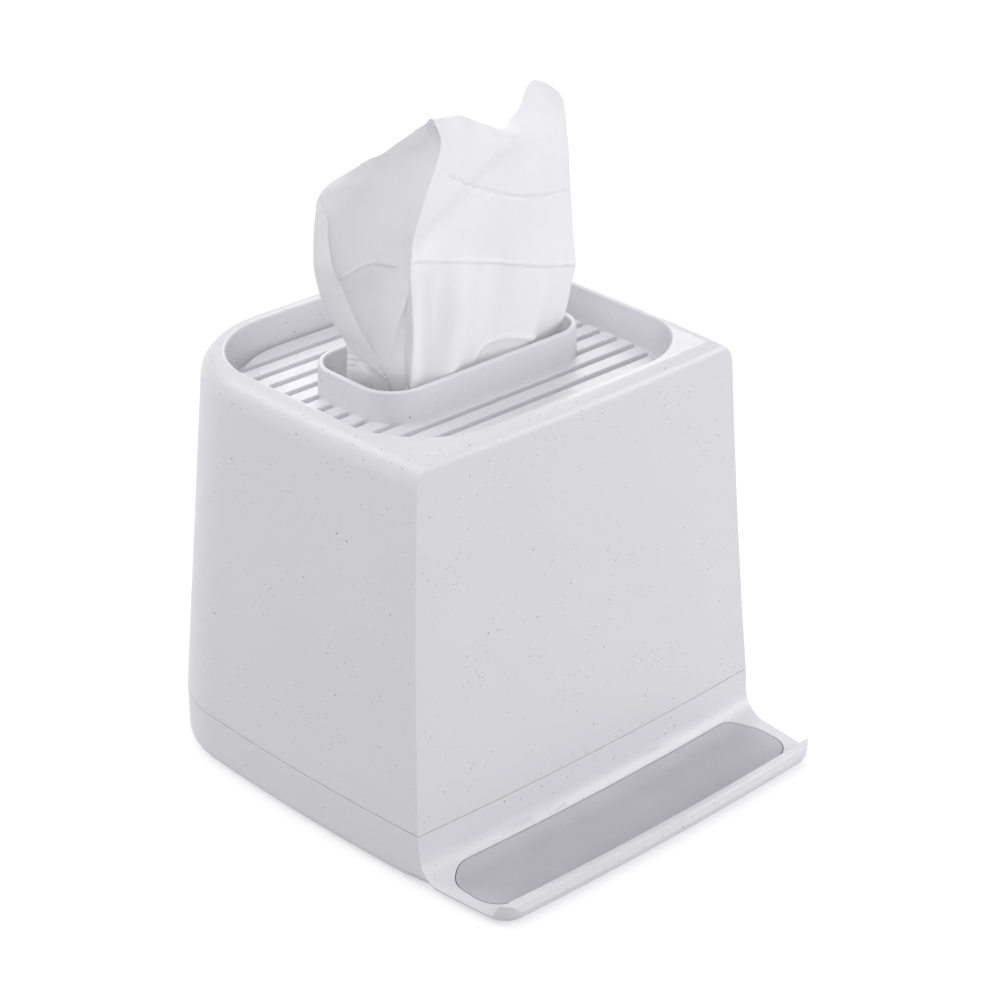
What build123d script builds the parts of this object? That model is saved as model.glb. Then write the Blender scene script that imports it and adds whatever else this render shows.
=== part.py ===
from build123d import *
import math
import os

os.makedirs("parts", exist_ok=True)

# Tissue box holder: a drafted cover that lifts off a shallow base, a ribbed tray with a collared
# slot in the top of the cover, and a ledge with an upturned lip along the front of the base.
# Millimetres, +Z up, front towards -Y. The origin lies on the surface that the feet stand on,
# under the centre of the whole footprint.

# Overall body, measured at the parting line between cover and base
body_width = 150.0
body_depth = 139.2
total_height = 142.8
parting_height = 19.5
side_crown = 2.8
front_crown = 2.1
back_crown = 0.3
back_corner_radius = 40.0
bottom_edge_radius = 4.5

# Cover; the edges that meet at the parting line are eased
cover_wall = 2.2
parting_ease = 0.3
cover_draft = 3.6
side_top_radius = 9.5
front_top_radius = 4.0
front_lean = 6.4
front_hollow = 0.9

# Tray in the top of the cover, placed by how far it is from the body's sides, front and back
tray_side_margin = 12.0
tray_front_margin = 11.2
tray_back_margin = 17.6
tray_corner_radius = 30.0
tray_depth = 13.2
tray_draft = 1.5
tray_wall = 1.8
tray_floor = 2.0
rim_radius = 0.8

# Ribs on the tray's floor, between grooves that run from side to side
outer_rib_width = 7.7
rib_height = 2.8
rib_pitch = 8.0
rib_edge_radius = 0.5
groove_width = 2.4
grooves_y = -1.6
rib_end_gap = 3.8
rib_side_gap = 1.4
rib_corner_radius = 32.0

# Collar round the tissue slot
slot_length = 84.2
slot_width = 38.4
slot_corner_radius = 11.0
slot_y = -3.0
collar_wall = 1.9
collar_draft = 1.5
collar_lip_radius = 0.8

# Base, with a rim that locates the cover
floor_thickness = 2.4
rim_clearance = 0.3
rim_wall = 1.8
rim_height = 9.0
rim_draft = 5.0

# Ledge along the front of the base, with an upturned lip
ledge_reach = 35.3
ledge_thickness = 2.9
ledge_corner_radius = 9.0
ledge_fillet = 8.5
lip_height = 4.4
lip_thickness = 2.5
lip_outer_lean = 1.0
lip_inner_lean = 2.2
lip_root_radius = 2.0
lip_outer_radius = 1.0
lip_inner_ease = 0.6

# Mat let into the ledge; it runs along the foot of the front face
mat_side_margin = 6.6
mat_depth = 24.5
mat_thickness = 1.4
mat_corner_radius = 9.4
mat_gap = 0.35
mat_setback = 3.4

# Feet
foot_diameter = 14.0
foot_recess = 0.8
foot_proud = 0.8
foot_gap = 0.15
foot_edge_radius = 0.3
foot_side_margin = 23.0
foot_end_margin = 21.6

# Tissues
stack_side_margin = 12.0
stack_end_margin = 18.6
stack_height = 88.0
stack_corner_radius = 4.0
stack_edge_radius = 2.0
sheet_thickness = 1.0
sheet_gap = 0.8

# The sheet stands in a fold: a front panel, a web that turns back behind it and a left panel.
# Across the slot these are the places of its two edges and two folds, and how far the panels bow.
right_edge_y = -14.5
front_fold_y = -18.5
inner_fold_y = -7.0
left_edge_y = 7.0
sheet_split_y = -13.0
panel_bow = 1.5
# The places along the slot of the right edge, front fold, inner fold and left edge, first at the
# sheet's foot and then at the heights that start the rows
foot_places = (27.0, -18.0, -9.0, -22.0)
sheet_widths = [
    (143.0, 38.5, -30.0, -15.0, -35.5),
    (162.0, 45.0, -29.5, -15.0, -43.0),
    (180.0, 43.5, -29.0, -14.0, -47.0),
    (201.0, 41.5, -24.5, -9.0, -45.5),
    (232.0, 38.5, -12.0, 4.0, -40.0),
]
# The free top edges, each from right to left
front_top = [
    (47, 180), (42, 206), (39, 218.5), (35, 224), (29, 228), (26.5, 222), (19, 216), (8, 216), (-2, 222),
    (-12, 225.5), (-26, 213),
]
left_top = [(20, 218), (3, 217), (-8, 215), (-20, 213), (-29, 210.5), (-36, 206), (-44, 201), (-50, 196)]

# Worked-out heights and places
ledge_top = foot_proud + ledge_thickness
floor_top = foot_proud + floor_thickness
cover_height = total_height - parting_height
tray_floor_top = total_height - tray_depth
half_width = body_width / 2
half_depth = body_depth / 2
tray_width = body_width - 2 * tray_side_margin
tray_front = half_depth - tray_front_margin
tray_back = half_depth - tray_back_margin
groove_count = round((tray_front + tray_back - 2 * outer_rib_width) / rib_pitch)
mat_width = body_width - 2 * mat_side_margin
sheet_foot = floor_top + stack_height + sheet_gap
rim_inset = cover_wall + rim_clearance
base_inset = rim_inset + rim_wall
front_face = half_depth + front_crown
lip_face = front_face + ledge_reach
body_y = (lip_face - half_depth - back_crown) / 2
mat_y = body_y - front_face - mat_setback - mat_depth / 2

# Sides, back and front are crowned: each is an arc in plan. The front ones share one axis.
side_radius = (half_depth**2 + side_crown**2) / (2 * side_crown)
back_radius = (half_width**2 + back_crown**2) / (2 * back_crown)
front_radius = (half_width**2 + front_crown**2) / (2 * front_crown)
crown_y = body_y - front_face + front_radius
crown_axis = Axis((0, crown_y, 0), (0, 0, 1))
half_sweep = math.asin((half_width + 15) / front_radius)
sweep_plane = Plane(
    (0, crown_y, 0),
    x_dir=(-math.sin(half_sweep), -math.cos(half_sweep), 0),
    z_dir=(-math.cos(half_sweep), math.sin(half_sweep), 0),
)
full_sweep = 2 * math.degrees(half_sweep)


def body_level(height):
    """Level plane whose origin is the centre of the body in plan."""
    return Plane((0, body_y, height))


def body_plan(inset, front, corner=0, round_back=True):
    """Plan of the body, moved in by inset, with the middle of its front at the distance front.

    It is what four large discs have in common. Its front corners are round if a corner radius
    is given, and its back ones unless the solid's own upright edges are rounded later.
    """
    side_center = half_width + side_crown - side_radius
    with BuildSketch() as plan:
        with Locations((0, front_radius - front_face)):
            Circle(front_radius - front_face + front)
        with Locations((side_center, 0)):
            Circle(side_radius - inset, mode=Mode.INTERSECT)
        with Locations((-side_center, 0)):
            Circle(side_radius - inset, mode=Mode.INTERSECT)
        with Locations((0, half_depth + back_crown - back_radius)):
            Circle(back_radius - inset, mode=Mode.INTERSECT)
        if round_back:
            fillet(plan.vertices().group_by(Axis.Y)[-1], back_corner_radius - inset)
        if corner > 0:
            fillet(plan.vertices().group_by(Axis.Y)[0], corner)
    return plan.sketch


def back_corners(solid):
    """The two upright edges at the back of a solid."""
    uprights = solid.edges().filter_by(lambda edge: edge.bounding_box().size.Z > cover_height / 2)
    return uprights.sort_by(Axis.Y)[-2:]


def behind_front(inset, top, corner):
    """Section of all that lies behind the shallow hollow front face, from the parting line up.

    Its x is the distance from the crown axis and its y is the height.
    """
    foot = Vector(front_radius - inset, parting_height)
    head = Vector(front_radius - inset - front_lean, total_height)
    across = (head - foot).rotate(Axis.Z, 90).normalized()
    middle = (foot + head) / 2 + across * front_hollow
    rear = head.X - 2 * body_depth
    with BuildSketch() as section:
        with BuildLine():
            ThreePointArc(foot, middle, head)
            Polyline(head, (rear, head.Y), (rear, foot.Y), foot)
        make_face()
        with Locations((front_radius, top)):
            Rectangle(6 * body_depth, total_height, align=(Align.CENTER, Align.MIN), mode=Mode.SUBTRACT)
        if corner > 0:
            fillet(section.vertices().group_by(Axis.Y)[-1].sort_by(Axis.X)[-1], corner)
    return section.sketch


def mat_plan(grow):
    """Plan of the mat, moved out by grow. Its long edges are concentric with the front face."""
    back_edge_radius = front_radius + mat_setback
    with BuildSketch() as plan:
        with Locations((0, crown_y)):
            Circle(back_edge_radius + mat_depth + grow)
            Circle(back_edge_radius - grow, mode=Mode.SUBTRACT)
        with Locations((0, mat_y)):
            Rectangle(mat_width + 2 * grow, 2 * mat_depth, mode=Mode.INTERSECT)
        fillet(plan.vertices(), mat_corner_radius + grow)
    return plan.sketch


def tray_plan(grow, side_gap=0, corner=tray_corner_radius):
    """Plan of the tray, moved out by grow at its ends and by grow - side_gap at front and back."""
    depth = tray_front + tray_back + 2 * (grow - side_gap)
    with BuildSketch() as plan:
        with Locations((0, (tray_back - tray_front) / 2)):
            RectangleRounded(tray_width + 2 * grow, depth, corner + min(grow, 0))
    return plan.sketch


def level_faces(solid, height):
    """Flat level faces at a height."""
    return solid.faces().filter_by(Axis.Z).filter_by_position(Axis.Z, height - 0.01, height + 0.01)


def from_slot(face):
    """How far the centre of a level face is from the centre of the slot."""
    return (face.center() - Vector(0, body_y + slot_y, total_height)).length


# The space under the tray, inside the cover, with the tray's own walls and floor left out
with BuildPart() as cavity:
    with BuildSketch(body_level(parting_height)):
        add(body_plan(cover_wall, front_face + 2 * side_top_radius, round_back=False))
    extrude(amount=cover_height - cover_wall, taper=cover_draft)
    fillet(back_corners(cavity), back_corner_radius - cover_wall)
    ceiling_edges = cavity.faces().sort_by(Axis.Z)[-1].edges().sort_by(Axis.Y)[1:]
    fillet(ceiling_edges, side_top_radius - cover_wall)
    with BuildSketch(sweep_plane):
        add(behind_front(cover_wall, total_height - cover_wall, front_top_radius - cover_wall))
    revolve(axis=crown_axis, revolution_arc=full_sweep, mode=Mode.INTERSECT)
    with BuildSketch(body_level(total_height)):
        add(tray_plan(tray_wall))
    extrude(amount=-tray_depth - tray_floor, taper=tray_draft, mode=Mode.SUBTRACT)

# Cover: a drafted plan with a rounded top, cut to the crowned and hollow front face
with BuildPart() as cover:
    with BuildSketch(body_level(parting_height)):
        add(body_plan(0, front_face + 2 * side_top_radius, round_back=False))
    extrude(amount=cover_height, taper=cover_draft)
    fillet(back_corners(cover), back_corner_radius)
    top_edges = cover.faces().sort_by(Axis.Z)[-1].edges().sort_by(Axis.Y)[1:]
    fillet(top_edges, side_top_radius)
    with BuildSketch(sweep_plane):
        add(behind_front(0, total_height, front_top_radius))
    revolve(axis=crown_axis, revolution_arc=full_sweep, mode=Mode.INTERSECT)
    fillet(cover.faces().sort_by(Axis.Z)[0].edges(), parting_ease)
    # tray
    with BuildSketch(body_level(total_height)):
        add(tray_plan(0))
    extrude(amount=-tray_depth, taper=tray_draft, mode=Mode.SUBTRACT)
    tray_walls = cover.faces().filter_by(lambda face: face.bounding_box().min.Z > tray_floor_top - 1)
    tray_walls = tray_walls.filter_by(lambda face: face.bounding_box().size.Z > tray_depth / 2)
    fillet([wall.edges().sort_by(Axis.Z)[-1] for wall in tray_walls], rim_radius)
    # ribs
    with BuildSketch(body_level(tray_floor_top)):
        add(tray_plan(-rib_end_gap, rib_side_gap - rib_end_gap, rib_corner_radius + rib_end_gap))
        with Locations((0, grooves_y)):
            with GridLocations(0, rib_pitch, 1, groove_count):
                Rectangle(tray_width, groove_width, mode=Mode.SUBTRACT)
    extrude(amount=rib_height)
    fillet(level_faces(cover, tray_floor_top + rib_height).edges(), rib_edge_radius)
    # collar and slot
    with BuildSketch(body_level(total_height)):
        with Locations((0, slot_y)):
            RectangleRounded(
                slot_length + 2 * collar_wall, slot_width + 2 * collar_wall, slot_corner_radius + collar_wall
            )
    extrude(amount=-tray_depth, taper=-collar_draft)
    fillet(level_faces(cover, total_height).sort_by(from_slot)[0].edges(), collar_lip_radius)
    add(cavity.part, mode=Mode.SUBTRACT)
    with BuildSketch(body_level(total_height)):
        with Locations((0, slot_y)):
            RectangleRounded(slot_length, slot_width, slot_corner_radius)
    extrude(amount=-tray_depth - 2 * tray_floor, mode=Mode.SUBTRACT)
    collar_top = level_faces(cover, total_height).sort_by(from_slot)[0]
    fillet(collar_top.inner_wires()[0].edges(), collar_lip_radius)

cover.part.label = "cover"
export_step(cover.part, "parts/cover.step")

# Section over the ledge, from the front face down to the ledge and over its lip.
# Its x is the distance from the crown axis and its y is the height.
front_slope = (front_lean + 4 * front_hollow) / cover_height
front_foot = front_radius + front_slope * (parting_height - ledge_top)
lip_radius = front_radius + ledge_reach
lip_foot = foot_proud + bottom_edge_radius
lip_top = ledge_top + lip_height
lip_outer_edge = (lip_radius - lip_outer_lean, lip_top)
lip_inner_edge = Vector(lip_radius - lip_outer_lean - lip_thickness, lip_top)
lip_root = Vector(lip_inner_edge.X - lip_inner_lean, ledge_top)
ease_start = lip_inner_edge - (lip_inner_edge - lip_root).normalized() * lip_inner_ease
ease_end = lip_inner_edge + Vector(lip_inner_ease, 0)
ease_middle = (ease_start + ease_end + lip_inner_edge * 2) / 4
clear_of_lip = lip_radius + lip_height
clear_of_top = parting_height + 1
front_edge = (front_radius, parting_height - parting_ease)
above_front_edge = (front_radius - parting_ease - 1, clear_of_top)
with BuildPart() as ledge_space:
    with BuildSketch(sweep_plane):
        with BuildLine():
            Line(above_front_edge, front_edge)
            FilletPolyline(
                front_edge,
                (front_foot, ledge_top),
                lip_root,
                ease_start,
                radius=[ledge_fillet, lip_root_radius],
            )
            Polyline(ease_start, ease_middle, ease_end)
            FilletPolyline(ease_end, lip_outer_edge, (lip_radius, lip_foot), radius=lip_outer_radius)
            Polyline((lip_radius, lip_foot), (clear_of_lip, lip_foot), (clear_of_lip, clear_of_top))
            Line((clear_of_lip, clear_of_top), above_front_edge)
        make_face()
    revolve(axis=crown_axis, revolution_arc=full_sweep)

# Everything in front of the face that is at most the mat's thickness under the ledge's surface
with BuildPart() as mat_layer:
    with BuildSketch(sweep_plane):
        with BuildLine():
            FilletPolyline(front_edge, (front_foot, ledge_top), lip_root, radius=ledge_fillet)
            offset(amount=mat_thickness, side=Side.RIGHT)
        make_face()
    revolve(axis=crown_axis, revolution_arc=full_sweep)

# Base: the body's plan reaching forward under the ledge, rounded below, open above
with BuildPart() as base:
    with BuildSketch(body_level(foot_proud)):
        add(body_plan(0, lip_face, ledge_corner_radius))
    extrude(amount=parting_height - foot_proud)
    chamfer(level_faces(base, parting_height).edges(), parting_ease)
    fillet(level_faces(base, foot_proud).edges(), bottom_edge_radius)
    add(ledge_space.part, mode=Mode.SUBTRACT)
    with BuildSketch(body_level(parting_height)):
        add(body_plan(rim_inset, front_face - rim_inset))
    extrude(amount=rim_height, taper=rim_draft)
    with BuildSketch(body_level(floor_top)):
        add(body_plan(base_inset, front_face - base_inset))
    extrude(amount=total_height, mode=Mode.SUBTRACT)
    # recess for the mat
    with BuildSketch(Plane.XY):
        add(mat_plan(mat_gap))
    mat_column = extrude(amount=parting_height, mode=Mode.PRIVATE)
    add(mat_column & mat_layer.part, mode=Mode.SUBTRACT)
    # recesses for the feet
    with BuildSketch(body_level(foot_proud)):
        with GridLocations(body_width - 2 * foot_side_margin, body_depth - 2 * foot_end_margin, 2, 2):
            Circle(foot_diameter / 2 + foot_gap)
    extrude(amount=foot_recess, mode=Mode.SUBTRACT)

base.part.label = "base"
export_step(base.part, "parts/base.step")

with BuildPart() as ledge_mat:
    with BuildSketch(Plane.XY):
        add(mat_plan(0))
    extrude(amount=parting_height)
    add(mat_layer.part, mode=Mode.INTERSECT)

ledge_mat.part.label = "ledge_mat"
export_step(ledge_mat.part, "parts/ledge_mat.step")

with BuildPart() as rubber_feet:
    with BuildSketch(body_level(0)):
        with GridLocations(body_width - 2 * foot_side_margin, body_depth - 2 * foot_end_margin, 2, 2):
            Circle(foot_diameter / 2)
    extrude(amount=foot_proud + foot_recess)
    fillet(rubber_feet.faces().group_by(Axis.Z)[0].edges(), foot_edge_radius)

rubber_feet.part.label = "rubber_feet"
export_step(rubber_feet.part, "parts/rubber_feet.step")

# The folded tissues lie on the floor of the base
with BuildPart() as tissue_stack:
    with BuildSketch(body_level(floor_top)):
        RectangleRounded(
            body_width - 2 * stack_side_margin, body_depth - 2 * stack_end_margin, stack_corner_radius
        )
    extrude(amount=stack_height)
    fillet(tissue_stack.faces().sort_by(Axis.Z)[-1].edges(), stack_edge_radius)

tissue_stack.part.label = "tissue_stack"
export_step(tissue_stack.part, "parts/tissue_stack.step")


def sheet_section(right, front, inner, left):
    """Cross-section of the standing sheet, from the places of its edges and folds along the slot."""
    right_edge = Vector(right, right_edge_y)
    front_fold = Vector(front, front_fold_y)
    inner_fold = Vector(inner, inner_fold_y)
    left_edge = Vector(left, left_edge_y)
    front_middle = (right_edge + front_fold) / 2 - Vector(0, panel_bow)
    left_middle = (inner_fold + left_edge) / 2 - Vector(0, panel_bow)
    line = [right_edge, front_middle, front_fold, inner_fold, left_middle, left_edge]
    runs = [(end - start).normalized() for start, end in zip(line, line[1:])]
    sides = [run.rotate(Axis.Z, 90) for run in runs]
    shifts = [sides[0]]
    for before, after in zip(sides, sides[1:]):
        shifts.append((before + after) / (1 + before.dot(after)))
    shifts.append(sides[-1])
    half = sheet_thickness / 2
    outer = [point + shift * half for point, shift in zip(line, shifts)]
    under = [point - shift * half for point, shift in zip(line, shifts)]
    with BuildSketch() as section:
        with BuildLine():
            ThreePointArc(*outer[:3])
            Line(outer[2], outer[3])
            ThreePointArc(*outer[3:])
            Line(outer[5], under[5])
            ThreePointArc(*under[:2:-1])
            Line(under[3], under[2])
            ThreePointArc(*under[2::-1])
            Line(under[0], outer[0])
        make_face()
    return section.sketch


def below_edge(top_edge, front, back):
    """All that is under a free top edge, between two places across the slot."""
    right_end = top_edge[0][0]
    left_end = top_edge[-1][0]
    with BuildPart() as space:
        with BuildSketch(Plane((0, body_y + back, 0), x_dir=(1, 0, 0), z_dir=(0, -1, 0))):
            with BuildLine():
                Spline(*top_edge)
                Polyline(top_edge[-1], (left_end, 0), (right_end, 0), top_edge[0])
            make_face()
        extrude(amount=back - front)
    return space.part


# The sheet that stands in the slot and reaches down to the stack
with BuildPart() as tissue_sheet:
    for height, *places in [(sheet_foot, *foot_places), *sheet_widths]:
        with BuildSketch(body_level(height)):
            add(sheet_section(*places))
    loft(ruled=True)
    below_front_top = below_edge(front_top, 2 * front_fold_y, sheet_split_y)
    below_left_top = below_edge(left_top, sheet_split_y, body_depth)
    add(below_front_top + below_left_top, mode=Mode.INTERSECT)

tissue_sheet.part.label = "tissue_sheet"
export_step(tissue_sheet.part, "parts/tissue_sheet.step")
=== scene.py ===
import math

import bpy
import numpy as np
from mathutils import Matrix, Vector


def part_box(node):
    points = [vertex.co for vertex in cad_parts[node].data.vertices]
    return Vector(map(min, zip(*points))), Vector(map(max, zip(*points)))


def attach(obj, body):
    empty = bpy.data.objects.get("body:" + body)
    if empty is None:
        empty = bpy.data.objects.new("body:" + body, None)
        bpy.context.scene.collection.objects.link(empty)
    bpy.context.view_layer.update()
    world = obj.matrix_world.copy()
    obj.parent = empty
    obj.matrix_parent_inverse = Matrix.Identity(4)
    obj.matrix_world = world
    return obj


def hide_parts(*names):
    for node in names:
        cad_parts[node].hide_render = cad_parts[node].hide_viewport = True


# Looks of a tissue box holder: speckled satin plastic, a grey mat, the folded tissues inside and
# one tissue that stands in the slot. The scene is in metres. The places of the standing tissue are
# in millimetres, along the slot and across it from the centre of the body, and up from the table.

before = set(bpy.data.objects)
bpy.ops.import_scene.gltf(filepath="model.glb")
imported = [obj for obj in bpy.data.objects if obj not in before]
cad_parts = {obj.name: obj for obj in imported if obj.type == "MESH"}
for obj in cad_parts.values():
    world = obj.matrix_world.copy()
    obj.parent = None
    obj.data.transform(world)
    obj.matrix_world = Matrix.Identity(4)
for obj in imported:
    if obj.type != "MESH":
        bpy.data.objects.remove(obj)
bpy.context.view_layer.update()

MM = 0.001
STACK_LOW, STACK_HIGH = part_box("tissue_stack")
BODY_Y = (STACK_LOW.y + STACK_HIGH.y) / 2
PARTING_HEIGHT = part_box("cover")[0].z

# Camera, solved from the edges of the object: where it looks from, how far it is from the fitted
# centre of the body, how far it is moved right and up in its own picture, and its lens
CAMERA_AZIMUTH = math.radians(-43.2746)
CAMERA_ELEVATION = math.radians(26.912)
CAMERA_DISTANCE = 0.952184
CAMERA_RIGHT = 0.018378
CAMERA_UP = 0.07458
CAMERA_LENS = 99.57
FIT_CENTRE = Vector((0.0, 0.01855, 0.0008))


class Nodes:
    """A short way to write a material's node tree."""

    def __init__(self, tree):
        self.tree = tree

    def add(self, kind, **settings):
        node = self.tree.nodes.new("ShaderNode" + kind)
        for name, value in settings.items():
            setattr(node, name, value)
        return node

    def set(self, socket, value):
        """Links a socket to a socket, or writes a plain value on it."""
        if isinstance(value, bpy.types.NodeSocket):
            self.tree.links.new(value, socket)
        elif isinstance(value, (tuple, list)) and socket.type == "RGBA":
            socket.default_value = (*value[:3], 1.0)
        else:
            socket.default_value = value

    def math(self, operation, first, second=None, clamp=False):
        node = self.add("Math", operation=operation, use_clamp=clamp)
        self.set(node.inputs[0], first)
        if second is not None:
            self.set(node.inputs[1], second)
        return node.outputs[0]

    def ramp(self, value, low, high, start=0.0, end=1.0):
        """Smooth step of a value from low to high, between start and end."""
        node = self.add("MapRange", interpolation_type="SMOOTHSTEP")
        for socket, number in zip(node.inputs, (value, low, high, start, end)):
            self.set(socket, number)
        return node.outputs[0]

    def mix(self, share, first, second):
        node = self.add("Mix", data_type="RGBA")
        self.set(node.inputs[0], share)
        self.set(node.inputs[6], first)
        self.set(node.inputs[7], second)
        return node.outputs[2]

    def noise(self, place, size_mm, detail=2.0, stretch=(1.0, 1.0, 1.0)):
        scaled = self.add("Mapping")
        self.set(scaled.inputs["Vector"], place)
        self.set(scaled.inputs["Scale"], tuple(s / (size_mm * MM) for s in stretch))
        node = self.add("TexNoise")
        self.set(node.inputs["Vector"], scaled.outputs[0])
        self.set(node.inputs["Scale"], 1.0)
        self.set(node.inputs["Detail"], detail)
        return node.outputs["Fac"]

    def bump(self, height, distance_mm, strength=1.0, normal=None):
        node = self.add("Bump")
        self.set(node.inputs["Strength"], strength)
        self.set(node.inputs["Distance"], distance_mm * MM)
        self.set(node.inputs["Height"], height)
        if normal is not None:
            self.set(node.inputs["Normal"], normal)
        return node.outputs[0]


def new_material(name):
    """A material with a Principled shader: its node helper, the shader and the object's own place."""
    material = bpy.data.materials.new(name)
    material.use_nodes = True
    tree = material.node_tree
    tree.nodes.clear()
    nodes = Nodes(tree)
    shader = nodes.add("BsdfPrincipled")
    output = nodes.add("OutputMaterial")
    tree.links.new(shader.outputs[0], output.inputs["Surface"])
    place = nodes.add("TexCoord").outputs["Object"]
    return material, nodes, shader, place


def specks(nodes, place, cell_mm, radius_mm, share):
    """Round specks of different sizes: how much of one there is, and a random number for its tint."""
    cells = nodes.add("TexVoronoi")
    nodes.set(cells.inputs["Vector"], place)
    nodes.set(cells.inputs["Scale"], 1 / (cell_mm * MM))
    split = nodes.add("SeparateColor")
    nodes.set(split.inputs[0], cells.outputs["Color"])
    shown = nodes.math("LESS_THAN", split.outputs[0], share)
    radius = nodes.ramp(split.outputs[1], 0.0, 1.0, 0.45 * radius_mm / cell_mm, radius_mm / cell_mm)
    inside = nodes.math("SUBTRACT", radius, cells.outputs["Distance"])
    edge = nodes.ramp(inside, 0.0, 0.25 * radius_mm / cell_mm)
    return nodes.math("MULTIPLY", edge, shown), split.outputs[2]


# Specks of the plastic, finest first: mean spacing and largest radius in millimetres, the share of
# places that hold one and how dark it is
SPECKS = ((1.5, 0.26, 0.5, 0.20), (2.2, 0.40, 0.5, 0.36), (4.0, 0.40, 0.45, 0.75))
# The colours between which the plastic and its specks vary
PLASTIC_COLOURS = ((0.782, 0.775, 0.806), (0.806, 0.80, 0.83))
SPECK_COLOURS = ((0.16, 0.145, 0.14), (0.34, 0.31, 0.30))
# The painted shadow line between cover and base, where their gap lies: how strong it is, its colour,
# and how far from the parting height it starts to fade and is gone, in metres
SEAM_SHADOW_STRENGTH = 0.5
SEAM_SHADOW_COLOUR = (0.22, 0.215, 0.23)
SEAM_SHADOW_FULL, SEAM_SHADOW_GONE = 0.0001, 0.00026


def speckled_plastic():
    """Pale satin plastic, dark specks in loose crowds and a thin painted shadow at the parting line.
    """
    material, nodes, shader, place = new_material("speckled_plastic")
    cloud = nodes.noise(place, 34, 3.0)
    colour = nodes.mix(cloud, *PLASTIC_COLOURS)
    crowd = nodes.ramp(nodes.noise(place, 12, 2.0), 0.35, 0.65, 0.35, 1.6)
    for cell, radius, share, depth in SPECKS:
        amount, tint = specks(nodes, place, cell, radius, nodes.math("MULTIPLY", crowd, share))
        dark = nodes.mix(tint, *SPECK_COLOURS)
        colour = nodes.mix(nodes.math("MULTIPLY", amount, depth), colour, dark)
    level = nodes.add("SeparateXYZ")
    nodes.set(level.inputs[0], place)
    # painted shade: the colour darkens to a thin shadow line close to the parting height, where cover
    # meets base
    from_parting = nodes.math("ABSOLUTE", nodes.math("SUBTRACT", level.outputs[2], PARTING_HEIGHT))
    seam_shadow = nodes.ramp(from_parting, SEAM_SHADOW_FULL, SEAM_SHADOW_GONE, SEAM_SHADOW_STRENGTH, 0.0)
    nodes.set(shader.inputs["Base Color"], nodes.mix(seam_shadow, colour, SEAM_SHADOW_COLOUR))
    grain = nodes.noise(place, 1.1, 2.0)
    sheen = nodes.noise(place, 9, 2.0)
    nodes.set(shader.inputs["Roughness"], nodes.ramp(sheen, 0.2, 0.8, 0.30, 0.38))
    nodes.set(shader.inputs["IOR"], 1.46)
    wave = nodes.bump(sheen, 0.05, 0.25)
    nodes.set(shader.inputs["Normal"], nodes.bump(grain, 0.02, 0.35, wave))
    return material


def soft_rubber(name, dark, light, roughness, grain_mm):
    """Matte rubber or silicone with a fine grain, cloudy between two colours."""
    material, nodes, shader, place = new_material(name)
    cloud = nodes.noise(place, 18, 3.0)
    grain = nodes.noise(place, grain_mm, 3.0)
    shade = nodes.math("ADD", nodes.math("MULTIPLY", cloud, 0.35), nodes.math("MULTIPLY", grain, 0.65))
    nodes.set(shader.inputs["Base Color"], nodes.mix(nodes.ramp(shade, 0.3, 0.7), dark, light))
    dull = nodes.ramp(grain, 0.25, 0.75, roughness - 0.05, roughness + 0.06)
    nodes.set(shader.inputs["Roughness"], dull)
    nodes.set(shader.inputs["Normal"], nodes.bump(grain, 0.03, 0.5))
    return material


def tissue_paper():
    """Soft white paper with upright fibres and a fine crepe."""
    material, nodes, shader, place = new_material("tissue_paper")
    cloud = nodes.noise(place, 14, 3.0)
    fibre = nodes.noise(place, 0.7, 3.0, (1.0, 1.0, 0.35))
    crepe = nodes.noise(place, 0.55, 1.0, (0.3, 0.3, 1.6))
    shade = nodes.math("ADD", nodes.math("MULTIPLY", cloud, 0.5), nodes.math("MULTIPLY", fibre, 0.5))
    colour = nodes.mix(nodes.ramp(shade, 0.3, 0.7), (0.945, 0.94, 0.96), (0.97, 0.965, 0.975))
    nodes.set(shader.inputs["Base Color"], colour)
    nodes.set(shader.inputs["Roughness"], nodes.ramp(fibre, 0.2, 0.8, 0.86, 0.96))
    nodes.set(shader.inputs["Specular IOR Level"], 0.25)
    nodes.set(shader.inputs["Sheen Weight"], 0.12)
    nodes.set(shader.inputs["Sheen Roughness"], 0.5)
    soft = nodes.bump(fibre, 0.05, 0.5)
    nodes.set(shader.inputs["Normal"], nodes.bump(crepe, 0.04, 0.5, soft))
    return material


def dress(node, material):
    """Gives a CAD node its material."""
    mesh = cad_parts[node].data
    if not mesh.materials:
        mesh.materials.append(material)
    for index in range(len(mesh.materials)):
        mesh.materials[index] = material


PLASTIC = speckled_plastic()
PAPER = tissue_paper()
MAT_RUBBER = soft_rubber("mat_silicone", dark=(0.53, 0.525, 0.56), light=(0.59, 0.585, 0.62),
                         roughness=0.6, grain_mm=0.45)
FOOT_RUBBER = soft_rubber("foot_rubber", dark=(0.50, 0.50, 0.52), light=(0.56, 0.56, 0.58),
                          roughness=0.7, grain_mm=0.8)
dress("cover", PLASTIC)
dress("base", PLASTIC)
dress("ledge_mat", MAT_RUBBER)
dress("rubber_feet", FOOT_RUBBER)


def grid_faces(rows, columns, closed=False):
    """Quads of a grid of points, row by row; closed joins the last column to the first."""
    faces = []
    last = columns if closed else columns - 1
    for row in range(rows - 1):
        for column in range(last):
            after = (column + 1) % columns
            low, high = row * columns, (row + 1) * columns
            faces.append((low + column, low + after, high + after, high + column))
    return faces


def new_piece(name, points, faces, material):
    """A smooth-shaded object from points and faces, with its material."""
    mesh = bpy.data.meshes.new(name)
    mesh.from_pydata([tuple(p) for p in points], [], faces)
    mesh.validate()
    mesh.materials.append(material)
    mesh.polygons.foreach_set("use_smooth", [True] * len(mesh.polygons))
    piece = bpy.data.objects.new(name, mesh)
    bpy.context.scene.collection.objects.link(piece)
    return piece


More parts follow.
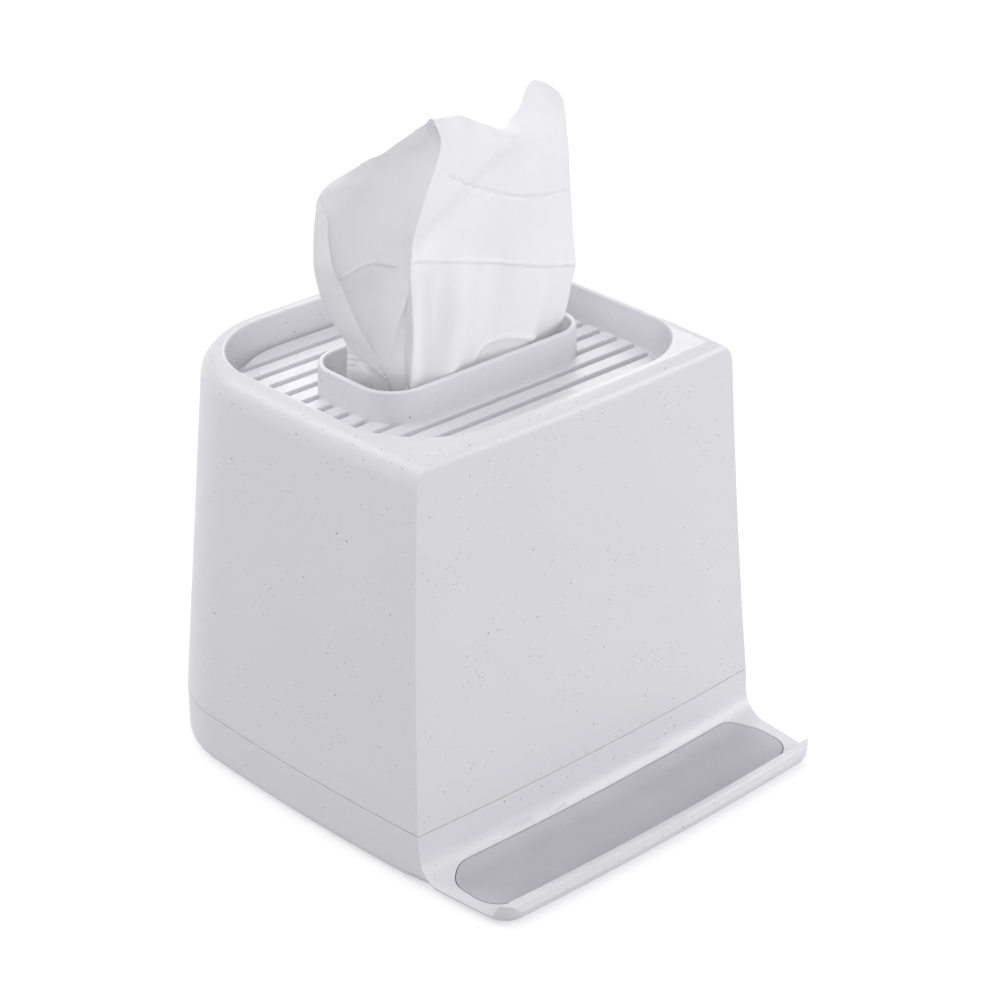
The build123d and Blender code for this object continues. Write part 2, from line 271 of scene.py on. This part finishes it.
def smooth_line(knots, values, at):
    """Values of a smooth line through the knots, with no overshoot, at the given places."""
    knots = np.asarray(knots, float)
    values = np.asarray(values, float)
    steps = np.diff(knots)
    slopes = np.diff(values) / steps
    tangents = np.empty_like(values)
    tangents[0], tangents[-1] = slopes[0], slopes[-1]
    for i in range(1, len(values) - 1):
        if slopes[i - 1] * slopes[i] <= 0:
            tangents[i] = 0
        else:
            before, after = 2 * steps[i] + steps[i - 1], steps[i] + 2 * steps[i - 1]
            tangents[i] = (before + after) / (before / slopes[i - 1] + after / slopes[i])
    at = np.clip(at, knots[0], knots[-1])
    index = np.clip(np.searchsorted(knots, at, side="right") - 1, 0, len(steps) - 1)
    t = (at - knots[index]) / steps[index]
    start, end = values[index], values[index + 1]
    lead, trail = tangents[index] * steps[index], tangents[index + 1] * steps[index]
    return (start * (1 + 2 * t) * (1 - t) ** 2 + lead * t * (1 - t) ** 2
            + end * t * t * (3 - 2 * t) + trail * t * t * (t - 1))


def ease(values):
    """Smooth step: 0 up to 0, 1 from 1 on."""
    values = np.clip(values, 0, 1)
    return values * values * (3 - 2 * values)


# The standing tissue. Its lines run up the sheet, from its right edge to the free edge of the flap
# at its left. Each point is the height, the place along the slot and the place across it.
SHEET_LINES = [
    # the right edge
    [(92, 27, -12), (128, 36, -14), (142, 39.9, -14.5), (147, 41.7, -14.5), (152, 43, -14.5),
     (161, 45.2, -14.5), (171, 44, -14.5), (183, 42.9, -14.5), (200, 41.3, -14.5), (210, 40.6, -14),
     (217, 40.2, -13.2), (231, 39, -11)],
    # the right part of the front panel
    [(92, 12, -15), (143, 18, -19.5), (161, 21, -19), (183, 20, -18.5), (198, 19.5, -17.5),
     (207, 19, -16.8), (211, 19, -15.2), (216, 20, -11.5), (222, 21, -9), (231, 21, -8)],
    # the left part of the front panel
    [(92, -4, -14), (143, -7, -19.2), (161, -6.5, -19.6), (183, -7, -18.6), (203, -4, -18),
     (215, -1, -16.5), (231, 1, -14)],
    # the front fold
    [(92, -18, -16), (142, -30, -18.5), (157, -29, -18.5), (167, -29.2, -18.5), (177, -29.7, -18.5),
     (186.4, -29.1, -18.5), (197, -25.3, -18.5), (204, -21.5, -18), (210, -17.3, -17),
     (217, -14.4, -16), (224, -16.8, -15), (231, -20, -14)],
    # the valley behind it
    [(92, -16, -12), (132, -24.5, -14), (142, -27, -12.6), (150, -25.3, -9.9),
     (160, -22.6, -8.2), (168, -20.4, -7.4), (180, -18, -9), (190, -17.5, -11.5), (204, -14, -13),
     (217, -11.5, -13), (224, -15.5, -13.5), (231, -19, -13)],
    # the inner fold, which runs out into the left panel above
    [(92, -22, -7), (141, -30.6, -7.3), (149, -29, -7.9), (156, -26.7, -8.2),
     (161, -24.5, -8.3), (166, -21.6, -7.5), (172, -20.5, -4.5), (185, -20, -3), (197, -18.5, -4.5),
     (210, -17.3, -7.5), (220, -18, -11.5), (231, -21, -12)],
    # the hollow of the left panel
    [(92, -22, -2.5), (132, -31, -3.2), (141, -33, -3.5), (147, -31.8, 0), (154, -29.5, 2.5),
     (165, -27.3, 3.2), (175, -26.8, 1.6), (190, -24.5, 2.2), (204, -24.3, 0.5),
     (214, -25, -2.5), (231, -27.5, -6)],
    # the rolled left side
    [(92, -22, 5), (140, -36.1, 5), (148, -35.4, 5.5), (157, -39.3, 6.8), (164, -42.3, 7),
     (171, -45.2, 7), (180, -46.6, 7), (187, -46.3, 7), (197.5, -44.8, 7), (200.5, -43.9, 6.6),
     (202.5, -42.3, 6), (204, -40, 5.6), (206, -37, 5), (231, -33, 2)],
    # the flap's free edge
    [(92, -24, -8.5), (142.5, -33.7, -10), (147, -34.8, -9), (153, -36.5, -6), (161, -38.6, -3),
     (171, -41, 0), (180, -43.6, 1.9), (185, -43.4, 3.2), (190, -43, 4.2), (196, -42, 4.6),
     (202, -40, 4.6), (231, -30, 0.5)],
]
# How far to each side a line's fold is rounded, in millimetres, and the largest share of the way to
# the next line that this may take
SHEET_ROUNDING = (0, 9, 9, 2.4, 3.0, 1.3, 6.0, 1.8, 0)
ROUNDING_LIMIT = 0.4
# Height of the free top edge at places between those lines, counted from the right edge
SHEET_TOP = [
    (0, 216), (0.06, 219), (0.15, 221), (0.36, 223.8), (0.5, 224.6), (0.63, 223.6), (0.77, 220.3),
    (0.87, 217.2), (1.02, 215.4), (1.2, 214.2), (1.4, 214.6), (1.65, 216.6), (2, 220), (2.4, 223),
    (3, 224), (4, 224), (4.6, 222.5), (5, 221.3), (5.5, 217), (6, 212.3), (6.5, 209.3), (6.8, 207),
    (7, 204.5), (7.12, 202), (7.4, 198), (8, 193),
]
# The sheet's thickness, the height of its foot just above the stack, and how much of its lower end
# is folded back up behind
SHEET_THICKNESS = 0.22
SHEET_FOOT = 92.0
SHEET_BACK_LAYER = 46.0
# The span of heights from which the folded-back part takes its shape, its width as a share of that
# shape's, and how far behind the front part it lies
BACK_LAYER_SPAN = 113.0
BACK_LAYER_NARROWING = 0.94
BACK_LAYER_GAP = 2.6
# Top and number of the levels at which the sheet's section is worked out
SECTION_TOP = 231
SECTIONS = 140
# The flap's lower end: places counted from the right edge with their heights. Below it the sheet
# steps inwards by the given depth, over the given height. The step begins at a place counted from
# the right edge, and it is full a little further on
FLAP_TIP = [(7, 150.5), (7.35, 148.2), (8, 142.6)]
FLAP_STEP = 1.5
FLAP_STEP_HEIGHT = 1.2
FLAP_STEP_START = 7.05
FLAP_STEP_GROWTH = 0.3
# Pleats of the gathered lower part: where they start, the height over which they grow, their depth
# and how many there are from one line to the next
PLEATS_TOP = 138
PLEATS_REACH = 40
PLEATS_DEPTH = 1.9
PLEATS_PER_LINE = 1.35
# Small waves along the free top edge: height and depth in millimetres, the turn from line to line
# and the turn that they begin with, in radians
EDGE_WAVE_REACH = 9
EDGE_WAVE_DEPTH = 0.35
EDGE_WAVE_TURN = 9.5
EDGE_WAVE_START = 0.7
# A fold fades over this share of the way between two lines, on both sides of where it ends
FOLD_FADE = 0.12
# Soft folds: first and last line that they cross, their two ends (place along the slot and
# height), their half-width and how far they stand out
SHEET_FOLDS = [
    (0.75, 3, (20, 210.6), (7, 215.2), 2.4, 0.9),
    (0, 3, (22, 208), (-28, 182), 7.5, -3.8),
    (0, 3, (38, 205), (24, 180), 11.0, 1.0),
    (0, 3, (-10, 178), (-18, 132), 8.0, 2.8),
    (0, 3, (-24, 178), (-25.5, 132), 4.0, -0.9),
    (0, 3, (8, 178), (0, 132), 9.0, -1.5),
    (0, 3, (36, 172), (12, 136), 9.0, 1.5),
    (4.9, 7, (-31, 200), (-30, 176), 5.0, -0.9),
    (4.9, 7, (-24, 206), (-23, 182), 4.0, 0.7),
]
# Embossed lines: first and last line that they cross, points (place along the slot and height),
# half-width and how far they stand out
SHEET_EMBOSSED = [
    (0, 2.95, [(-30, 182.8), (-9, 177.5), (12, 170.8), (46, 159.8)], 0.8, 0.7),
    (0, 3.0, [(-13, 205.6), (-3.8, 200.2), (4.6, 196.1), (17.9, 191.2), (43, 186)], 0.7, -0.6),
    (5.2, 7.1, [(-38, 172.8), (-28.6, 175.8), (-17, 173.6)], 0.8, 0.7),
    (0, 3.0, [(-4, 142.5), (2, 145.8), (8, 146.4), (15, 145), (22, 142)], 1.6, 0.5),
    (6.9, 7.6, [(-38.5, 147.2), (-35, 146.4)], 0.5, 0.35),
    (6.9, 7.6, [(-38.5, 145.2), (-35, 144.4)], 0.5, 0.35),
    (6.9, 7.6, [(-38.5, 143.2), (-35, 142.4)], 0.5, 0.35),
]


def across_sheet(lines, order):
    """Points across the sheet at one height, from the lines' places there, with rounded folds."""
    control, place = [lines[0]], [0.0]
    for i in range(1, len(lines) - 1):
        for neighbour, side in ((lines[i - 1], -1), (None, 0), (lines[i + 1], 1)):
            if side == 0:
                control.append(lines[i])
                place.append(float(i))
                continue
            run = neighbour - lines[i]
            length = max(np.linalg.norm(run), 1e-6)
            step = min(SHEET_ROUNDING[i], ROUNDING_LIMIT * length)
            control.append(lines[i] + run * step / length)
            place.append(i + side * step / length)
    control.append(lines[-1])
    place.append(float(len(lines) - 1))
    control = np.array(control)
    return np.stack([smooth_line(place, control[:, k], order) for k in (0, 1)], axis=1)


def line_amount(x, z, start, end, width):
    """How near points are to a line between two places: 1 on it, 0 beyond its half-width."""
    start, end = np.array(start, float), np.array(end, float)
    run = end - start
    t = ((x - start[0]) * run[0] + (z - start[1]) * run[1]) / (run @ run)
    away = np.abs((x - start[0]) * run[1] - (z - start[1]) * run[0]) / np.linalg.norm(run)
    # each end fades over 0.4 of the length, from 0.12 beyond it
    ends = ease((t + 0.12) / 0.4) * ease((1.12 - t) / 0.4)
    return ease(1 - away / width) * ends


def curve_amount(x, z, points, width):
    """How near points are to a curve through given places, 1 on it, fading out past its ends."""
    along, height = [p[0] for p in points], [p[1] for p in points]
    away = np.abs(z - smooth_line(along, height, x))
    ends = ease((x - along[0] + width) / (2 * width)) * ease((along[-1] + width - x) / (2 * width))
    return ease(1 - away / width) * ends


def sheet_points(columns, rows):
    """Grid of points of the plain standing sheet, top edge first, and their places between lines."""
    order = np.linspace(0, len(SHEET_LINES) - 1, columns)
    top = smooth_line([t[0] for t in SHEET_TOP], [t[1] for t in SHEET_TOP], order)
    heights = np.linspace(SHEET_FOOT, SECTION_TOP, SECTIONS)
    tracks = [[smooth_line([p[0] for p in line], [p[k] for p in line], heights) for k in (1, 2)]
              for line in SHEET_LINES]
    plan = np.array([
        across_sheet([np.array([track[0][h], track[1][h]]) for track in tracks], order)
        for h in range(len(heights))
    ])
    share = np.linspace(0, 1, rows)[:, None]
    z = top[None, :] + (SHEET_FOOT - top[None, :]) * share
    x = np.empty_like(z)
    y = np.empty_like(z)
    for column in range(columns):
        x[:, column] = np.interp(z[:, column], heights, plan[:, column, 0])
        y[:, column] = np.interp(z[:, column], heights, plan[:, column, 1])
    return order, x, y, z


def between_lines(order, first, last):
    """1 between two lines of the sheet, 0 outside them, with a soft change."""
    after = ease((order - first + FOLD_FADE) / (2 * FOLD_FADE))
    before = ease((last + FOLD_FADE - order) / (2 * FOLD_FADE))
    return after * before


def fold_shift(order, x, z):
    """How far each point of the sheet moves outwards for folds, pleats and embossed lines."""
    shift = np.zeros_like(x)
    for first, last, start, end, width, depth in SHEET_FOLDS:
        inside = between_lines(order, first, last)
        shift += line_amount(x, z, start, end, width) * depth * inside[None, :]
    for first, last, points, width, depth in SHEET_EMBOSSED:
        inside = between_lines(order, first, last)
        shift += curve_amount(x, z, points, width) * depth * inside[None, :]
    tip = smooth_line([t[0] for t in FLAP_TIP], [t[1] for t in FLAP_TIP], order)[None, :]
    on_flap = ease((order - FLAP_STEP_START) / FLAP_STEP_GROWTH)[None, :]
    shift += FLAP_STEP * ease((tip - z) / FLAP_STEP_HEIGHT) * on_flap
    pleats = ease((PLEATS_TOP - z) / PLEATS_REACH)
    shift += PLEATS_DEPTH * pleats * np.sin(order[None, :] * 2 * math.pi * PLEATS_PER_LINE)
    near_top = ease(1 - (z[0][None, :] - z) / EDGE_WAVE_REACH)
    edge_wave = np.sin(order[None, :] * EDGE_WAVE_TURN + EDGE_WAVE_START)
    shift += EDGE_WAVE_DEPTH * near_top * edge_wave
    return shift


def folded_back(x, y, back_rows):
    """Rows of the sheet's lower end, which is folded back up behind the gathered part."""
    rows, columns = x.shape
    back = []
    for step in np.linspace(0, 1, back_rows)[1:]:
        rise = SHEET_BACK_LAYER * step
        level = int(round((rows - 1) * (1 - rise / BACK_LAYER_SPAN)))
        # the fold turns over within the first sixth of the rise
        behind = BACK_LAYER_GAP * ease(step * 6)
        height = np.full(columns, SHEET_FOOT + rise)
        back.append((x[level] * BACK_LAYER_NARROWING, y[level] + behind, height))
    return np.array(back)


def standing_tissue():
    """The tissue in the slot: a front part shaped by the lines and folds, and a part folded back."""
    columns, rows, back_rows = ((300, 260, 50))
    order, x, y, z = sheet_points(columns, rows)
    # each point moves level, square to the sheet's section
    run_x, run_y = np.gradient(x, axis=1), np.gradient(y, axis=1)
    length = np.maximum(np.hypot(run_x, run_y), 1e-9)
    shift = fold_shift(order, x, z)
    x = x - run_y / length * shift
    y = y + run_x / length * shift
    sheet = np.concatenate([np.stack([x, y, z], axis=1), folded_back(x, y, back_rows)])
    points = sheet.transpose(0, 2, 1).reshape(-1, 3) * MM
    points[:, 1] += BODY_Y
    piece = new_piece("tissue", points, grid_faces(len(sheet), columns), PAPER)
    thicken = piece.modifiers.new("thickness", "SOLIDIFY")
    thicken.thickness = SHEET_THICKNESS * MM
    thicken.offset = 0.0
    apply_modifiers(piece)
    return piece


def apply_modifiers(piece):
    """Leaves the mesh as its modifiers make it, with none left."""
    shown = piece.evaluated_get(bpy.context.evaluated_depsgraph_get())
    mesh = bpy.data.meshes.new_from_object(shown)
    old = piece.data
    piece.modifiers.clear()
    piece.data = mesh
    bpy.data.meshes.remove(old)


tissue = standing_tissue()
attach(tissue, "tissue")
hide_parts("tissue_sheet")


# The folded tissues inside: how many layers there are, the rows of points in each, the corner radius
# in millimetres, and the rings of points across the top
STACK_LAYERS = 40
LAYER_ROWS = 5
STACK_CORNER = 4.0
TOP_RINGS = 26
# A layer's edge, in millimetres: how far in from the block's side it may lie, how far its fold is
# rounded on the long sides, how deep the notch between two cut ends is, how unevenly those ends
# lie, and the depth of the waves along the edge
LAYER_INSET = (0.15, 0.75)
FOLD_ROUNDNESS = 0.85
CUT_NOTCH = 0.35
CUT_UNEVENNESS = 0.3
LAYER_WAVE = 0.18
# The top, in millimetres: how far its rim and its face lie below the block's top, how far the face
# rises towards the middle, the step where one half sheet lies over the other, and its crinkles
TOP_RIM_DROP = 1.2
TOP_FACE_DROP = 1.2075
TOP_RISE = 0.45
TOP_STEP = 0.2625
TOP_CRINKLE = 0.11


def rounded_outline(half_x, half_y, corner, per_side, per_corner):
    """Outline of a rounded rectangle and its outward directions, anticlockwise from the right side."""
    places, ways = [], []
    inner_x, inner_y = half_x - corner, half_y - corner
    sides = [((half_x, -inner_y), (half_x, inner_y)), ((inner_x, half_y), (-inner_x, half_y)),
             ((-half_x, inner_y), (-half_x, -inner_y)), ((-inner_x, -half_y), (inner_x, -half_y))]
    centres = [(inner_x, inner_y), (-inner_x, inner_y), (-inner_x, -inner_y), (inner_x, -inner_y)]
    for side, ((x0, y0), (x1, y1)) in enumerate(sides):
        way = (math.cos(side * math.pi / 2), math.sin(side * math.pi / 2))
        for k in range(per_side):
            t = k / per_side
            places.append((x0 + (x1 - x0) * t, y0 + (y1 - y0) * t))
            ways.append(way)
        for k in range(per_corner):
            angle = (side + k / per_corner) * math.pi / 2
            way = (math.cos(angle), math.sin(angle))
            places.append((centres[side][0] + corner * way[0], centres[side][1] + corner * way[1]))
            ways.append(way)
    return np.array(places), np.array(ways)


def stack_sides(places, ways, low, high):
    """Rings of points up the block's sides, a few for each layer, from its outline and corners."""
    half_x, half_y = (high.x - low.x) / 2, (high.y - low.y) / 2
    layer_height = (high.z - low.z) / STACK_LAYERS
    on_fold = np.abs(ways[:, 1])
    along = places[:, 0] / half_x * 2.6 + places[:, 1] / half_y * 1.9
    random = np.random.default_rng(11)
    rings = []
    for layer in range(STACK_LAYERS):
        inset = random.uniform(*LAYER_INSET)
        uneven = CUT_UNEVENNESS * random.uniform(-0.5, 0.5)
        phase = random.uniform(0, 2 * math.pi)
        for row in range(LAYER_ROWS):
            t = (row + 0.5) / LAYER_ROWS
            rounded = FOLD_ROUNDNESS * (1 - math.sqrt(1 - (2 * t - 1) ** 2))
            notch = CUT_NOTCH * (1 - math.sin(math.pi * t))
            depth = inset + rounded * on_fold + notch * (1 - on_fold)
            depth = depth + LAYER_WAVE * np.sin(along * 3 + phase) + uneven * (1 - on_fold)
            ring = places - ways * np.maximum(depth, 0.02)[:, None]
            # a layer waves up and down, most in the block's upper half and not at its top
            sag = 0.5 * np.sin(along + phase) * (0.2 + 0.8 * layer / STACK_LAYERS)
            bend = 0.3 * sag * math.sin(math.pi * (layer + t) / STACK_LAYERS)
            level = low.z + (layer + t) * layer_height + bend
            rings.append(np.column_stack([ring, np.clip(level, low.z, high.z - TOP_RIM_DROP)]))
    return rings


def stack_top(rim, top):
    """Rings of points from the rim inwards: two half sheets, one over the other at the middle."""
    rings = []
    for k in range(1, TOP_RINGS + 1):
        t = k / TOP_RINGS
        ring = rim[:, :2] * (1 - t * 0.985)
        x, y = ring[:, 0], ring[:, 1]
        overlap = ease((y + 2) / 5)
        crinkle = np.sin(x / 7 + 0.6 * np.sin(y / 9)) * np.sin(y / 11 + 0.8)
        level = top - TOP_FACE_DROP + TOP_RISE * ease(t * 8)
        level = level + TOP_STEP * overlap + TOP_CRINKLE * crinkle
        rings.append(np.column_stack([ring, np.minimum(level, top)]))
    return rings


def folded_stack():
    """The pack of folded tissues: rounded folds along its long sides, cut edges at its ends."""
    low, high = STACK_LOW / MM, STACK_HIGH / MM
    places, ways = rounded_outline((high.x - low.x) / 2, (high.y - low.y) / 2, STACK_CORNER, 60, 7)
    sides = stack_sides(places, ways, low, high)
    bottom = np.column_stack([sides[0][:, :2] * 0.9, np.full(len(places), low.z)])
    rings = [bottom] + sides + stack_top(sides[-1], high.z)
    rows, columns = len(rings), len(places)
    faces = grid_faces(rows, columns, closed=True)
    faces.append(tuple(reversed(range(columns))))
    faces.append(tuple((rows - 1) * columns + c for c in range(columns)))
    points = np.concatenate(rings) * MM
    points[:, 1] += BODY_Y
    return new_piece("folded_tissues", points, faces, PAPER)


stack = folded_stack()
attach(stack, "base")
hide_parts("tissue_stack")


def camera_axes():
    """The camera's right, up and back directions."""
    azimuth, elevation = CAMERA_AZIMUTH, CAMERA_ELEVATION
    back = Vector((math.sin(azimuth) * math.cos(elevation), -math.cos(azimuth) * math.cos(elevation),
                   math.sin(elevation)))
    right = Vector((0, 0, 1)).cross(back).normalized()
    return right, back.cross(right), back


def add_camera():
    """The camera of the main view."""
    right, up, back = camera_axes()
    camera = bpy.data.objects.new("camera", bpy.data.cameras.new("camera"))
    camera.data.sensor_width = 36.0
    camera.data.lens = CAMERA_LENS
    camera.data.clip_start = 0.05
    camera.data.clip_end = 20.0
    turn = Matrix((right, up, back)).transposed().to_4x4()
    camera.matrix_world = Matrix.Translation(
        FIT_CENTRE + back * CAMERA_DISTANCE + right * CAMERA_RIGHT + up * CAMERA_UP) @ turn
    bpy.context.scene.collection.objects.link(camera)
    bpy.context.scene.camera = camera


def add_lamp(name, place, target, size, watts, colour=(1.0, 1.0, 1.0)):
    """An area lamp that faces a target."""
    lamp = bpy.data.objects.new(name, bpy.data.lights.new(name, "AREA"))
    lamp.data.shape = "RECTANGLE"
    lamp.data.size, lamp.data.size_y = size
    lamp.data.energy = watts
    lamp.data.color = colour
    lamp.location = place
    lamp.rotation_euler = (Vector(target) - Vector(place)).to_track_quat("-Z", "Y").to_euler()
    bpy.context.scene.collection.objects.link(lamp)


def seen_directly(nodes):
    """1 for rays from the camera and for those that glossy or clear surfaces send, else 0."""
    path = nodes.add("LightPath")
    seen = nodes.math("MAXIMUM", path.outputs["Is Camera Ray"], path.outputs["Is Glossy Ray"])
    return nodes.math("MAXIMUM", seen, path.outputs["Is Transmission Ray"])


# Half the floor's side in metres, wide enough to fill the picture at every angle from above
FLOOR_HALF_WIDTH = 9.0


def add_floor():
    """A plain floor that takes the object's shadow and shows white, also far away."""
    mesh = bpy.data.meshes.new("floor")
    corners = [(-1, -1), (1, -1), (1, 1), (-1, 1)]
    points = [(x * FLOOR_HALF_WIDTH, y * FLOOR_HALF_WIDTH, 0) for x, y in corners]
    mesh.from_pydata(points, [], [(0, 1, 2, 3)])
    floor = bpy.data.objects.new("floor", mesh)
    bpy.context.scene.collection.objects.link(floor)
    material = bpy.data.materials.new("floor")
    material.use_nodes = True
    tree = material.node_tree
    tree.nodes.clear()
    nodes = Nodes(tree)
    matte = nodes.add("BsdfDiffuse")
    nodes.set(matte.inputs["Color"], (0.58, 0.58, 0.585))
    glow = nodes.add("Emission")
    nodes.set(glow.inputs["Color"], (1.0, 1.0, 1.0))
    away = nodes.add("VectorMath", operation="LENGTH")
    nodes.set(away.inputs[0], nodes.add("TexCoord").outputs["Object"])
    plain = nodes.ramp(away.outputs["Value"], 0.4, 2.0, 0.56, 0.78)
    nodes.set(glow.inputs["Strength"], nodes.math("MULTIPLY", seen_directly(nodes), plain))
    total = nodes.add("AddShader")
    nodes.set(total.inputs[0], matte.outputs[0])
    nodes.set(total.inputs[1], glow.outputs[0])
    output = nodes.add("OutputMaterial")
    nodes.set(output.inputs["Surface"], total.outputs[0])
    mesh.materials.append(material)


def set_world():
    """Soft light from all round, shown as plain white."""
    world = bpy.data.worlds.new("studio")
    world.use_nodes = True
    tree = world.node_tree
    tree.nodes.clear()
    nodes = Nodes(tree)
    soft = nodes.add("Background")
    nodes.set(soft.inputs["Color"], (0.985, 0.985, 1.0))
    nodes.set(soft.inputs["Strength"], 0.59)
    white = nodes.add("Background")
    nodes.set(white.inputs["Color"], (1.0, 1.0, 1.0))
    nodes.set(white.inputs["Strength"], 1.0)
    path = nodes.add("LightPath")
    either = nodes.add("MixShader")
    nodes.set(either.inputs[0], path.outputs["Is Camera Ray"])
    nodes.set(either.inputs[1], soft.outputs[0])
    nodes.set(either.inputs[2], white.outputs[0])
    output = nodes.add("OutputWorld")
    nodes.set(output.inputs["Surface"], either.outputs[0])
    bpy.context.scene.world = world


add_camera()
add_floor()
set_world()
# A broad key from the front right, weak near lamps for the tissue's left side and the front face,
# and lamps above and behind that mark the rims
add_lamp("key", (0.98, -1.0, 0.42), (0, 0, 0.1), (0.8, 0.6), 5.8, (0.98, 0.985, 1.0))
add_lamp("fill", (-0.7, -1.1, 0.7), (0, 0, 0.12), (0.9, 0.9), 0.5)
add_lamp("near_left", (-0.32, -0.2, 0.48), (-0.03, 0, 0.17), (0.25, 0.25), 0.33)
add_lamp("near_right", (0.42, -0.46, 0.16), (0.05, 0, 0.08), (0.25, 0.2), 0.16)
add_lamp("top", (-0.15, 0.35, 1.3), (0, 0.02, 0.1), (0.9, 0.6), 1.9)
add_lamp("left_edge", (-0.62, 0.92, 0.95), (0, 0, 0.12), (0.45, 0.45), 3.0)
add_lamp("right_edge", (0.8, 0.85, 0.85), (0, 0, 0.12), (0.5, 0.5), 3.0)
bpy.context.scene.view_settings.view_transform = "Standard"
